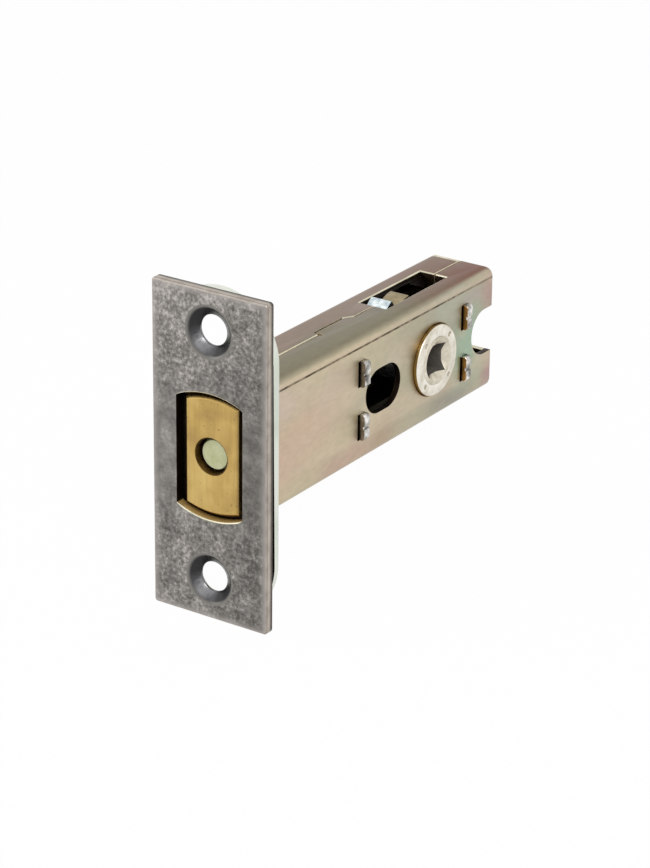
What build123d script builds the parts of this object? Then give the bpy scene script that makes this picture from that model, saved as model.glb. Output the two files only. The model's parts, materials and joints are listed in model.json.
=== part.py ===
# Tubular deadbolt: a square forend on a round-ended backing plate, a folded sheet case,
# a brass bolt with its forked tail, and the double-armed hub that throws it.
#
# Y runs from the forend's face back along the case, X across the door's thickness, Z up.
# The origin is the centre of the forend's face, the bolt is withdrawn, sizes are millimetres.

import os
from math import asin, atan, cos, degrees, radians, sin, sqrt, tan

from build123d import *

# Forend and backing plate
forend_height = 57.0
forend_width = 22.5
forend_thickness = 1.8
forend_corner = 0.6
forend_edge = 0.25
backing_inset = 0.1  # all round, inside the forend's outline
backing_thickness = 2.2
backing_edge = 0.4
screw_margin = 7.0  # from each end of the forend
screw_head = 8.7
screw_hole = 5.2
screw_land = 0.45  # straight wall left under the countersink
screw_clearance = 9.0

# Case, folded from one sheet with its seam along the top
case_width = 13.0
case_height = 23.0
case_length = 76.0  # from the forend's face to the rear end
case_sheet = 1.1
case_corner = 2.0
case_tab_height = 3.0
case_tab_inset = 3.2  # middle of each tab, inside the roof or floor
seam_gap = 0.3
seam_front = 0.3  # across from the middle, ahead of the jog
seam_jog = 1.2
seam_jog_lead = 26.0  # from the jog to the spindle
seam_jog_length = 8.5
seam_jog_ramp = 1.6
seam_relief = 0.8
top_window_width = 5.4
top_window_gap = 0.4  # beyond the arm's tip at each end of its swing
stop_tab_width = 4.0
stop_tab_depth = 2.2  # below the case's roof
flap_bend = 1.0  # outer radius where each rear flap turns in

# Spindle and bolt-through openings
bolt_through_spacing = 38.0
spindle_square = 5.1
spindle_leadin = 7.2
leadin_depth = 0.9
slot_setback = 16.0  # middle of the front slot, ahead of the spindle
slot_length = 10.7
slot_height = 8.0
notch_height = 8.4
notch_depth = 6.6

# Bolt and its hardened pin
bolt_recess = 0.6
bolt_side_clearance = 0.2
bolt_crown_clearance = 0.3
bolt_crown_radius = 15.3
bolt_stop_space = 4.3  # from the bolt's rear to the front guide plate
bolt_edge = 0.4
window_side_gap = 1.3
window_crown_gap = 0.8
saw_pin_diameter = 6.0
saw_pin_length = 20.0
saw_pin_recess = 2.2
saw_pin_edge = 0.3

# Forked tail behind the bolt, with its rivets and drive pin
tail_sheet = 1.5
tail_roof_gap = 0.5
tail_bend = 1.9
tail_root_radius = 1.5
tail_upper_length = 23.0
tail_end_wall = 1.6  # behind the drive pin
rivet_diameter = 2.4
rivet_grip = 6.0
rivet_head_diameter = 4.0
rivet_head_height = 0.8
rivet_margin = 4.6  # from each rivet's middle to the bolt's crown
drive_pin_diameter = 3.0

# Hub with an arm up through the window and a fork down to the drive pin
half_swing = 36.0
arm_rise = 2.2  # how far the arm would reach above the case when upright
arm_breadth = 3.0
arm_thickness = 4.0
arm_edge = 0.4
fork_play = 0.45  # each side of the drive pin
fork_prong = 1.7
fork_root = 0.5  # between the hub's round and the floor of the fork
hub_core_radius = 5.0
hub_end_radius = 4.35
bush_radius = 6.4
bush_flange_radius = 7.3
bush_stand = 0.8
bush_edge = 0.25
cam_drop = 0.2  # below the case's top when upright
cam_rear = 6.0  # degrees ahead of upright while the bolt is withdrawn
cam_thickness = 3.8
dimple_radius = 0.45
dimple_depth = 0.2
dimple_circle = 5.3

# Cross plates staked through the case's sides
plate_thickness = 1.6
guide_lead = 0.15  # between the front slot and the guide plate
rear_plate_setback = 10.2  # middle of the rear plate, behind the spindle
rear_plate_gap = 2.4  # to the case above and below
rear_plate_slot = 2.6  # floor of the slot that the cam swings into
tab_height = 4.6
tab_centre = 4.8
tab_stand = 1.0
tab_gap = 0.6  # open part of the slot ahead of each tab
stake_width = 0.5
stake_depth = 0.3
stake_edge = 0.4

# Friction spring between the case and the tail
spring_sheet = 0.4
spring_height = 3.0
spring_length = 9.4
spring_flat = 1.2
spring_hook_height = 1.4

# Clearances
slip = 0.05  # beside plates and pins that are staked or pressed together
bearing_gap = 0.08  # round each hub bush
moving_gap = 0.3  # between pieces that pass each other
arm_side_gap = 0.5  # from the arm to the tail's cheek on each side
overrun = 1.0  # how far the seam's cut runs past the case's ends

# Places worked out from the sizes above
wall = case_width / 2
roof = case_height / 2
inner_wall = wall - case_sheet
inner_roof = roof - case_sheet
backset = case_length - bolt_through_spacing / 2
screw_spacing = forend_height - 2 * screw_margin
case_tab_centre = inner_roof - case_tab_inset
backing_rear = forend_thickness + backing_thickness
bolt_half_width = inner_wall - bolt_side_clearance
bolt_crown = inner_roof - bolt_crown_clearance
slot_middle = backset - slot_setback
guide_rear = slot_middle - slot_length / 2 - guide_lead
guide_front = guide_rear - plate_thickness
bolt_rear = guide_front - bolt_stop_space
bolt_length = bolt_rear - bolt_recess
rear_plate_half_height = inner_roof - rear_plate_gap
rear_plate_front = backset + rear_plate_setback - plate_thickness / 2
rivet_spread = bolt_crown - rivet_margin
tail_inner = arm_thickness / 2 + arm_side_gap
tail_outer = tail_inner + tail_sheet
tail_clear = hub_core_radius + moving_gap
tail_half_height = inner_roof - tail_roof_gap
limb_middle = (tail_clear + tail_half_height) / 2
swing = radians(half_swing)
throw = 2 * limb_middle * tan(swing)
drive_pin_place = backset + throw / 2
arm_reach = roof + arm_rise
fork_reach = inner_roof - moving_gap
cam_reach = roof - cam_drop
tail_root = guide_front - tail_root_radius
tail_rear = drive_pin_place + drive_pin_diameter / 2 + tail_end_wall
bush_inner = tail_outer + moving_gap
bush_face = wall + bush_stand
window_half = arm_reach * sin(swing) + arm_breadth / 2 * cos(swing) + top_window_gap
seam_jog_start = backset - seam_jog_lead


def front_plane(y):
    return Plane.XZ.offset(-y)


def side_plane(side, x):
    return Plane((side * x, backset, 0), x_dir=(0, 1, 0), z_dir=(side, 0, 0))


def arched_profile(half_width, crown):
    corner = crown - bolt_crown_radius + sqrt(bolt_crown_radius**2 - half_width**2)
    with BuildSketch() as profile:
        with BuildLine():
            Line((half_width, -corner), (half_width, corner))
            ThreePointArc((half_width, corner), (0, crown), (-half_width, corner))
            Line((-half_width, corner), (-half_width, -corner))
            ThreePointArc((-half_width, -corner), (0, -crown), (half_width, -corner))
        make_face()
    return profile.sketch


os.makedirs("parts", exist_ok=True)

# Forend: square face plate with two countersunk screw holes
with BuildPart() as forend:
    with BuildSketch(front_plane(0)):
        RectangleRounded(forend_width, forend_height, forend_corner)
    extrude(amount=-forend_thickness)
    chamfer(forend.faces().sort_by(Axis.Y)[0].edges(), forend_edge)
    with BuildSketch(front_plane(0)):
        add(arched_profile(bolt_half_width + window_side_gap, bolt_crown + window_crown_gap))
    extrude(amount=-forend_thickness, mode=Mode.SUBTRACT)
    sink_depth = forend_thickness - screw_land
    sink_angle = 2 * degrees(atan((screw_head - screw_hole) / 2 / sink_depth))
    with Locations(front_plane(0)):
        with Locations((0, screw_spacing / 2), (0, -screw_spacing / 2)):
            CounterSinkHole(screw_hole / 2, screw_head / 2, counter_sink_angle=sink_angle)
forend.part.label = "forend"
export_step(forend.part, "parts/forend.step")

# Backing plate: round ends, screw clearance, notches in its window for the case's tabs
with BuildPart() as backing_plate:
    with BuildSketch(front_plane(forend_thickness)):
        SlotOverall(
            forend_height - 2 * backing_inset, forend_width - 2 * backing_inset, rotation=90
        )
    extrude(amount=-backing_thickness)
    chamfer(backing_plate.faces().sort_by(Axis.Y)[-1].edges(), backing_edge)
    with BuildSketch(front_plane(forend_thickness)):
        add(arched_profile(bolt_half_width + moving_gap, bolt_crown + moving_gap))
        with Locations((0, case_tab_centre), (0, -case_tab_centre)):
            Rectangle(case_width + 2 * slip, case_tab_height + 2 * slip)
        with Locations((0, screw_spacing / 2), (0, -screw_spacing / 2)):
            Circle(screw_clearance / 2)
    extrude(amount=-backing_thickness, mode=Mode.SUBTRACT)
backing_plate.part.label = "backing_plate"
export_step(backing_plate.part, "parts/backing_plate.step")

# Case: folded box section, its seam stepped, with every opening through it
with BuildPart() as case:
    with BuildSketch(front_plane(backing_rear)):
        RectangleRounded(case_width, case_height, case_corner)
        RectangleRounded(2 * inner_wall, 2 * inner_roof, case_corner - case_sheet, mode=Mode.SUBTRACT)
    extrude(amount=backing_rear - case_length)
    # Four tabs staked into the backing plate
    with BuildSketch(front_plane(forend_thickness)):
        with GridLocations(case_width - case_sheet, 2 * case_tab_centre, 2, 2):
            Rectangle(case_sheet, case_tab_height)
    extrude(amount=-backing_thickness)
    # Seam and window in the top
    with BuildSketch(Plane.XY.offset(roof)):
        jog_end = seam_jog_start + seam_jog_length
        with BuildLine():
            Polyline(
                (seam_front, backing_rear - overrun),
                (seam_front, seam_jog_start),
                (seam_front - seam_jog, seam_jog_start),
                (seam_front - seam_jog, jog_end),
                (seam_front, jog_end + seam_jog_ramp),
                (seam_front, case_length + overrun),
            )
        trace(line_width=seam_gap)
        with Locations((seam_front, seam_jog_start)):
            Rectangle(seam_relief, seam_relief)
        with Locations((0, backset)):
            Rectangle(top_window_width, 2 * window_half)
    extrude(amount=-2 * case_sheet, mode=Mode.SUBTRACT)
    # Openings through both sides
    with BuildSketch(Plane.YZ):
        with Locations((backset, 0)):
            Circle(bush_radius + bearing_gap)
        with Locations((slot_middle, 0)):
            SlotOverall(slot_length, slot_height)
        with Locations((case_length, 0)):
            SlotOverall(2 * notch_depth, notch_height)
        for plate_front in (guide_front, rear_plate_front):
            slot_start = plate_front - tab_gap
            slot_run = plate_thickness + tab_gap + slip
            with Locations((slot_start + slot_run / 2, tab_centre), (slot_start + slot_run / 2, -tab_centre)):
                Rectangle(slot_run, tab_height + 2 * slip)
    extrude(amount=case_width, both=True, mode=Mode.SUBTRACT)
    # Slot that takes the friction spring's hook
    with BuildSketch(Plane.YZ.offset(-wall)):
        hook_place = slot_middle - spring_length / 2 + spring_sheet / 2
        with Locations((hook_place, limb_middle)):
            Rectangle(spring_sheet + 2 * slip, spring_hook_height + 2 * slip)
    extrude(amount=1.5 * case_sheet, mode=Mode.SUBTRACT)
    # Lip turned down behind the window
    with BuildSketch(front_plane(backset + window_half)):
        with Locations((seam_front - seam_gap / 2 - stop_tab_width / 2, inner_roof - stop_tab_depth / 2)):
            Rectangle(stop_tab_width / 2, stop_tab_depth, align=(Align.MIN, Align.CENTER))
        with Locations((seam_front + seam_gap / 2, inner_roof - stop_tab_depth / 2)):
            Rectangle(stop_tab_width / 2, stop_tab_depth, align=(Align.MIN, Align.CENTER))
    extrude(amount=-case_sheet)
    # Flaps turned in across the rear end: one up from the floor, two down beside the seam
    flap_edge = inner_wall - slip
    flap_height = inner_roof - notch_height / 2
    with BuildSketch(front_plane(case_length - case_sheet)):
        with Locations((0, -inner_roof)):
            Rectangle(2 * flap_edge, flap_height, align=(Align.CENTER, Align.MIN))
        with Locations((seam_front - seam_gap / 2, inner_roof)):
            Rectangle(flap_edge + seam_front - seam_gap / 2, flap_height, align=(Align.MAX, Align.MAX))
        with Locations((seam_front + seam_gap / 2, inner_roof)):
            Rectangle(flap_edge - seam_front - seam_gap / 2, flap_height, align=(Align.MIN, Align.MAX))
    extrude(amount=-case_sheet)
    with BuildSketch(Plane.YZ):
        for end, inward in ((1, Align.MIN), (-1, Align.MAX)):
            with Locations((case_length - flap_bend, end * (roof - flap_bend))):
                Rectangle(flap_bend, flap_bend, align=(Align.MIN, inward))
                Circle(flap_bend, mode=Mode.SUBTRACT)
    extrude(amount=case_width, both=True, mode=Mode.SUBTRACT)
case.part.label = "case"
export_step(case.part, "parts/case.step")

# Front guide plate: staked across the case, with a window above and below for the tail
with BuildPart() as front_guide_plate:
    with BuildSketch(front_plane(guide_front)):
        RectangleRounded(2 * (inner_wall - slip), 2 * (inner_roof - slip), case_corner - case_sheet)
        with Locations((0, tab_centre), (0, -tab_centre)):
            Rectangle(2 * (wall + tab_stand), tab_height)
        chamfer(vertices().group_by(Axis.X)[0] + vertices().group_by(Axis.X)[-1], stake_edge)
        Rectangle(2 * (tail_outer + moving_gap), 2 * (tail_half_height + moving_gap), mode=Mode.SUBTRACT)
        Rectangle(2 * (inner_wall - slip), 2 * (tail_clear - moving_gap))
        with GridLocations(2 * (wall + tab_stand), 2 * tab_centre, 2, 2):
            Rectangle(2 * stake_depth, stake_width, mode=Mode.SUBTRACT)
    extrude(amount=-plate_thickness)
front_guide_plate.part.label = "front_guide_plate"
export_step(front_guide_plate.part, "parts/front_guide_plate.step")

# Rear spacer plate: staked across the case behind the hub
with BuildPart() as rear_spacer_plate:
    with BuildSketch(front_plane(rear_plate_front)):
        Rectangle(2 * (inner_wall - slip), 2 * rear_plate_half_height)
        with Locations((0, tab_centre), (0, -tab_centre)):
            Rectangle(2 * (wall + tab_stand), tab_height)
        chamfer(vertices().group_by(Axis.X)[0] + vertices().group_by(Axis.X)[-1], stake_edge)
        with GridLocations(2 * (wall + tab_stand), 2 * tab_centre, 2, 2):
            Rectangle(2 * stake_depth, stake_width, mode=Mode.SUBTRACT)
        with Locations((0, rear_plate_slot)):
            Rectangle(
                arm_thickness + 2 * moving_gap,
                2 * rear_plate_half_height,
                align=(Align.CENTER, Align.MIN),
                mode=Mode.SUBTRACT,
            )
    extrude(amount=-plate_thickness)
rear_spacer_plate.part.label = "rear_spacer_plate"
export_step(rear_spacer_plate.part, "parts/rear_spacer_plate.step")

# Bolt: arched brass bar, bored from its face for the pin and from behind for the rivets
with BuildPart() as bolt:
    with BuildSketch(front_plane(bolt_recess)):
        add(arched_profile(bolt_half_width, bolt_crown))
    extrude(amount=-bolt_length)
    chamfer(bolt.faces().sort_by(Axis.Y)[0].edges(), bolt_edge)
    with Locations(front_plane(bolt_recess)):
        Hole(saw_pin_diameter / 2 + slip, saw_pin_recess + saw_pin_length + slip)
    with BuildSketch(front_plane(bolt_rear)):
        with Locations((0, rivet_spread), (0, -rivet_spread)):
            Circle(rivet_diameter / 2 + slip)
    extrude(amount=rivet_grip + slip, mode=Mode.SUBTRACT)
bolt.part.label = "bolt"
export_step(bolt.part, "parts/bolt.step")

# Hardened pin inside the bolt
with BuildPart() as bolt_pin:
    with BuildSketch(front_plane(bolt_recess + saw_pin_recess)):
        Circle(saw_pin_diameter / 2)
    extrude(amount=-saw_pin_length)
    chamfer(bolt_pin.edges().group_by(Axis.Y)[0], saw_pin_edge)
bolt_pin.part.label = "bolt_pin"
export_step(bolt_pin.part, "parts/bolt_pin.step")

# Tail: strip folded to a U, forked so that it passes the spindle and the front slot
with BuildPart() as bolt_tail:
    tail_run = tail_rear - bolt_rear
    with BuildSketch(Plane.XY.offset(-tail_half_height)):
        with BuildLine():
            Polyline(
                (-tail_outer + tail_sheet / 2, tail_rear),
                (-tail_outer + tail_sheet / 2, bolt_rear + tail_sheet / 2),
                (tail_outer - tail_sheet / 2, bolt_rear + tail_sheet / 2),
                (tail_outer - tail_sheet / 2, tail_rear),
            )
        trace(line_width=tail_sheet)
        fillet(vertices().group_by(Axis.Y)[0], tail_bend)
    extrude(amount=2 * tail_half_height)
    with BuildSketch(Plane.YZ):
        opening = tail_rear - tail_root
        with Locations((tail_rear, 0)):
            RectangleRounded(2 * opening, 2 * tail_clear, tail_root_radius)
        upper_end = tail_root + tail_upper_length
        with Locations((upper_end, tail_clear / 2)):
            Rectangle(tail_run, 2 * tail_half_height, align=(Align.MIN, Align.MIN))
        with Locations((drive_pin_place, -limb_middle)):
            Circle(drive_pin_diameter / 2 + slip / 2)
    extrude(amount=case_width, both=True, mode=Mode.SUBTRACT)
    with BuildSketch(front_plane(bolt_rear)):
        with Locations((0, rivet_spread), (0, -rivet_spread)):
            Circle(rivet_diameter / 2 + slip)
    extrude(amount=-2 * tail_sheet, mode=Mode.SUBTRACT)
bolt_tail.part.label = "bolt_tail"
export_step(bolt_tail.part, "parts/bolt_tail.step")


# Tail rivets: one above and one below the middle of the bolt
def tail_rivet(height):
    with BuildPart() as rivet:
        with BuildSketch(front_plane(bolt_rear - rivet_grip)):
            with Locations((0, height)):
                Circle(rivet_diameter / 2)
        extrude(amount=-(rivet_grip + tail_sheet))
        with BuildSketch(front_plane(bolt_rear + tail_sheet)):
            with Locations((0, height)):
                Circle(rivet_head_diameter / 2)
        extrude(amount=-rivet_head_height)
    return rivet.part


with BuildPart() as tail_rivet_upper:
    add(tail_rivet(rivet_spread))
tail_rivet_upper.part.label = "tail_rivet_upper"
export_step(tail_rivet_upper.part, "parts/tail_rivet_upper.step")

with BuildPart() as tail_rivet_lower:
    add(tail_rivet(-rivet_spread))
tail_rivet_lower.part.label = "tail_rivet_lower"
export_step(tail_rivet_lower.part, "parts/tail_rivet_lower.step")

# Drive pin: riveted across the tail, inside the hub's fork
with BuildPart() as drive_pin:
    with BuildSketch(Plane.YZ):
        with Locations((drive_pin_place, -limb_middle)):
            Circle(drive_pin_diameter / 2)
    extrude(amount=tail_outer, both=True)
drive_pin.part.label = "drive_pin"
export_step(drive_pin.part, "parts/drive_pin.step")

# Hub core: square hole, arm up to the window, fork opposite, ends that carry the bushes
lever_plane = Plane((0, backset, 0), x_dir=(0, sin(swing), -cos(swing)), z_dir=(1, 0, 0))
with BuildPart() as hub_core:
    with BuildSketch(Plane.YZ):
        with Locations((backset, 0)):
            Circle(hub_core_radius)
    extrude(amount=bush_inner, both=True)
    with BuildSketch(Plane.YZ):
        with Locations((backset, 0)):
            Circle(hub_end_radius)
    extrude(amount=bush_face, both=True)
    with BuildSketch(lever_plane):
        Rectangle(2 * fork_reach, drive_pin_diameter + 2 * fork_play + 2 * fork_prong)
        Circle(fork_reach, mode=Mode.INTERSECT)
        with Locations((-fork_reach, 0)):
            Rectangle(2 * fork_reach, 4 * fork_reach, mode=Mode.SUBTRACT)
        with Locations((-arm_reach, 0)):
            Rectangle(arm_reach, arm_breadth, align=(Align.MIN, Align.CENTER))
        fillet(vertices().group_by(Axis.X)[0], arm_edge)
        with Locations((hub_core_radius + fork_root, 0)):
            SlotOverall(
                2 * fork_reach,
                drive_pin_diameter + 2 * fork_play,
                align=(Align.MIN, Align.CENTER),
                mode=Mode.SUBTRACT,
            )
    extrude(amount=arm_thickness / 2, both=True)
    with BuildSketch(Plane.YZ):
        with Locations((backset, 0)):
            Rectangle(spindle_square, spindle_square)
    extrude(amount=bush_face, both=True, mode=Mode.SUBTRACT)
    for side in (-1, 1):
        with Locations(side_plane(side, bush_face - leadin_depth / 2)):
            Cone(
                spindle_leadin / 2 - leadin_depth, spindle_leadin / 2, leadin_depth, mode=Mode.SUBTRACT
            )
hub_core.part.label = "hub_core"
export_step(hub_core.part, "parts/hub_core.step")


def on_hub(radius, ahead):
    return (-radius * sin(radians(ahead)), radius * cos(radians(ahead)))


# Hub cam: plate seated on the hub, close behind the arm
with BuildPart() as hub_cam:
    seat = hub_core_radius + slip
    flank = arm_breadth / 2 + slip
    outer_front = half_swing - degrees(asin(flank / cam_reach))
    inner_front = half_swing - degrees(asin(flank / seat))
    with BuildSketch(side_plane(1, 0)):
        with BuildLine():
            ThreePointArc(
                on_hub(cam_reach, outer_front),
                on_hub(cam_reach, (outer_front + cam_rear) / 2),
                on_hub(cam_reach, cam_rear),
            )
            Line(on_hub(cam_reach, cam_rear), on_hub(seat, cam_rear))
            ThreePointArc(
                on_hub(seat, cam_rear),
                on_hub(seat, (inner_front + cam_rear) / 2),
                on_hub(seat, inner_front),
            )
            Line(on_hub(seat, inner_front), on_hub(cam_reach, outer_front))
        make_face()
    extrude(amount=cam_thickness / 2, both=True)
hub_cam.part.label = "hub_cam"
export_step(hub_cam.part, "parts/hub_cam.step")


# Hub bushes: flanged rings staked to the hub's ends, turning in the case's sides
def hub_bush(side):
    with BuildPart() as bush:
        with BuildSketch(side_plane(side, bush_inner)):
            Circle(bush_flange_radius)
            Circle(hub_end_radius, mode=Mode.SUBTRACT)
        extrude(amount=inner_wall - bearing_gap - bush_inner)
        with BuildSketch(side_plane(side, bush_inner)):
            Circle(bush_radius)
            Circle(hub_end_radius, mode=Mode.SUBTRACT)
        extrude(amount=bush_face - bush_inner)
        outer = bush.faces().filter_by(Axis.X).sort_by(Axis.X)[-1 if side > 0 else 0]
        chamfer(outer.outer_wire().edges(), bush_edge)
        with BuildSketch(side_plane(side, bush_face)):
            with PolarLocations(dimple_circle, 4, start_angle=45):
                RegularPolygon(dimple_radius, 8)
        extrude(amount=-dimple_depth, mode=Mode.SUBTRACT)
    return bush.part


with BuildPart() as hub_bush_right:
    add(hub_bush(1))
hub_bush_right.part.label = "hub_bush_right"
export_step(hub_bush_right.part, "parts/hub_bush_right.step")

with BuildPart() as hub_bush_left:
    add(hub_bush(-1))
hub_bush_left.part.label = "hub_bush_left"
export_step(hub_bush_left.part, "parts/hub_bush_left.step")

# Friction spring: bowed leaf hooked in the case's left side, bearing on the tail
with BuildPart() as friction_spring:
    spring_front = slot_middle - spring_length / 2
    spring_rear = slot_middle + spring_length / 2
    wall_line = -inner_wall + slip + spring_sheet / 2
    bow_line = -tail_outer - slip - spring_sheet / 2
    with BuildSketch(Plane.XY.offset(limb_middle - spring_height / 2)):
        with BuildLine():
            Polyline(
                (wall_line, spring_front),
                (wall_line, spring_front + spring_flat),
                (bow_line, slot_middle - spring_flat / 2),
                (bow_line, slot_middle + spring_flat / 2),
                (wall_line, spring_rear - spring_flat),
                (wall_line, spring_rear),
            )
        trace(line_width=spring_sheet)
    extrude(amount=spring_height)
    with BuildSketch(Plane.YZ.offset(wall_line)):
        with Locations((spring_front + spring_sheet / 2, limb_middle)):
            Rectangle(spring_sheet, spring_hook_height)
    extrude(amount=-(wall + wall_line))
friction_spring.part.label = "friction_spring"
export_step(friction_spring.part, "parts/friction_spring.step")

print(f"throw {throw:.3f} mm for {2 * half_swing:.1f} degrees")
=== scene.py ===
import json
import math
import bpy
from mathutils import Matrix, Vector


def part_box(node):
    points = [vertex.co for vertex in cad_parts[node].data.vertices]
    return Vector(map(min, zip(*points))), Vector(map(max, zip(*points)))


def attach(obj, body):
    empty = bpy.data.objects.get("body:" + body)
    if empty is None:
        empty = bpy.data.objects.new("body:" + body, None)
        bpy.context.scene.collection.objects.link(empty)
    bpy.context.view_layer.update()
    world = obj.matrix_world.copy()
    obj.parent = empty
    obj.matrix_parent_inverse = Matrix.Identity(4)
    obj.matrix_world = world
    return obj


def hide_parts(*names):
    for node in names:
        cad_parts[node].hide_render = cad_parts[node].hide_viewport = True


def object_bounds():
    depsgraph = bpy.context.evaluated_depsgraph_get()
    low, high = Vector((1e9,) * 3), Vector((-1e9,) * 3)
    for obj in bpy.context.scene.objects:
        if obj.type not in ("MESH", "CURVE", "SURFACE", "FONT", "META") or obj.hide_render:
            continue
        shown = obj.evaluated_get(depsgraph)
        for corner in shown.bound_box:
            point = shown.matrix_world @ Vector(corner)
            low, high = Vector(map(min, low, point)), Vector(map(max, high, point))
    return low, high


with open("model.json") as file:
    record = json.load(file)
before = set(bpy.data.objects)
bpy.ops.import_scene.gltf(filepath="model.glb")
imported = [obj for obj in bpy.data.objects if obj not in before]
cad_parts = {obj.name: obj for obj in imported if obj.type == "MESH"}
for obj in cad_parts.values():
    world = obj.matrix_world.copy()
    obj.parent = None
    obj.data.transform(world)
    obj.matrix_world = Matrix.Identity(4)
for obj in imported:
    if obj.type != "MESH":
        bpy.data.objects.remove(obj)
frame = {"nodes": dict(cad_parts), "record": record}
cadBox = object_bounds()
nodes = frame["nodes"]
bodyOf = {name: body for body, names in frame["record"]["behaviour"]["bodies"].items() for name in names}
mm = 0.001
mergeMm = 0.001  # points nearer than this are one point
flatAngle = math.radians(0.5)  # faces that meet flatter than this are one face
sharpAngle = math.radians(34)  # edges that meet sharper than this are rounded
# a normal's share along an axis: square on to it, facing it, mostly, by half, only leaning to it
squareOn, faceOn, mostOn, sideOn, leanOn = 0.97, 0.9, 0.7, 0.5, 0.3
hairMm, touchMm, nearMm, closeMm = 0.01, 0.02, 0.05, 0.1  # how near a plane or an edge counts as on it
noiseLow, noiseHigh = 0.3, 0.7  # where most of a noise's values lie
print("frame loaded:", len(nodes), "nodes")


def linear(hexColour):
    parts = [int(hexColour[i:i + 2], 16) / 255 for i in (1, 3, 5)]
    return [c / 12.92 if c <= 0.04045 else ((c + 0.055) / 1.055) ** 2.4 for c in parts] + [1.0]


# adds a node, sets what is named, links what is given; a hex text is a colour
def addNode(tree, kind, settings=None, links=None):
    made = tree.nodes.new(kind)
    for name, value in (settings or {}).items():
        if name == "stops":
            ramp = made.color_ramp
            while len(ramp.elements) < len(value):
                ramp.elements.new(0.5)
            for element, (place, colour) in zip(ramp.elements, value):
                element.position = place
                element.color = linear(colour)
        elif isinstance(name, str) and hasattr(made, name):
            setattr(made, name, value)
        else:
            made.inputs[name].default_value = linear(value) if isinstance(value, str) else value
    for name, source in (links or {}).items():
        tree.links.new(source, made.inputs[name])
    return made


mixColours = {"data_type": "RGBA"}
multiplyColours = {"data_type": "RGBA", "blend_type": "MULTIPLY", 0: 1.0}


def newMaterial(name):
    material = bpy.data.materials.new(name)
    material.use_nodes = True
    tree = material.node_tree
    tree.nodes.clear()
    shader = addNode(tree, "ShaderNodeBsdfPrincipled", {"Metallic": 1.0})
    addNode(tree, "ShaderNodeOutputMaterial", links={"Surface": shader.outputs[0]})
    place = addNode(tree, "ShaderNodeTexCoord").outputs["Object"]
    return material, tree, shader, place


# shades a coat by a grain drawn along one axis, coarser than the real one so that it shows, and sets the gloss by it
def addGrain(tree, shader, place, coat, look, detail):
    stretch = addNode(tree, "ShaderNodeMapping", {"Scale": [1 / (s * mm) for s in look["grainMm"]]}, {"Vector": place})
    grain = addNode(tree, "ShaderNodeTexNoise", {"Scale": 1.0, "Detail": detail}, {"Vector": stretch.outputs[0]})
    shade = addNode(tree, "ShaderNodeMapRange",
                    {"From Min": noiseLow, "From Max": noiseHigh, "To Min": 1 - look["grainDepth"],
                     "To Max": 1 + look["grainDepth"]}, {"Value": grain.outputs[0]})
    gloss = addNode(tree, "ShaderNodeMapRange", {"To Min": look["roughness"][0], "To Max": look["roughness"][1]},
                    {"Value": grain.outputs[0]})
    tree.links.new(gloss.outputs[0], shader.inputs["Roughness"])
    return addNode(tree, "ShaderNodeMix", multiplyColours, {6: coat, 7: shade.outputs[0]}).outputs[2]


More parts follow.
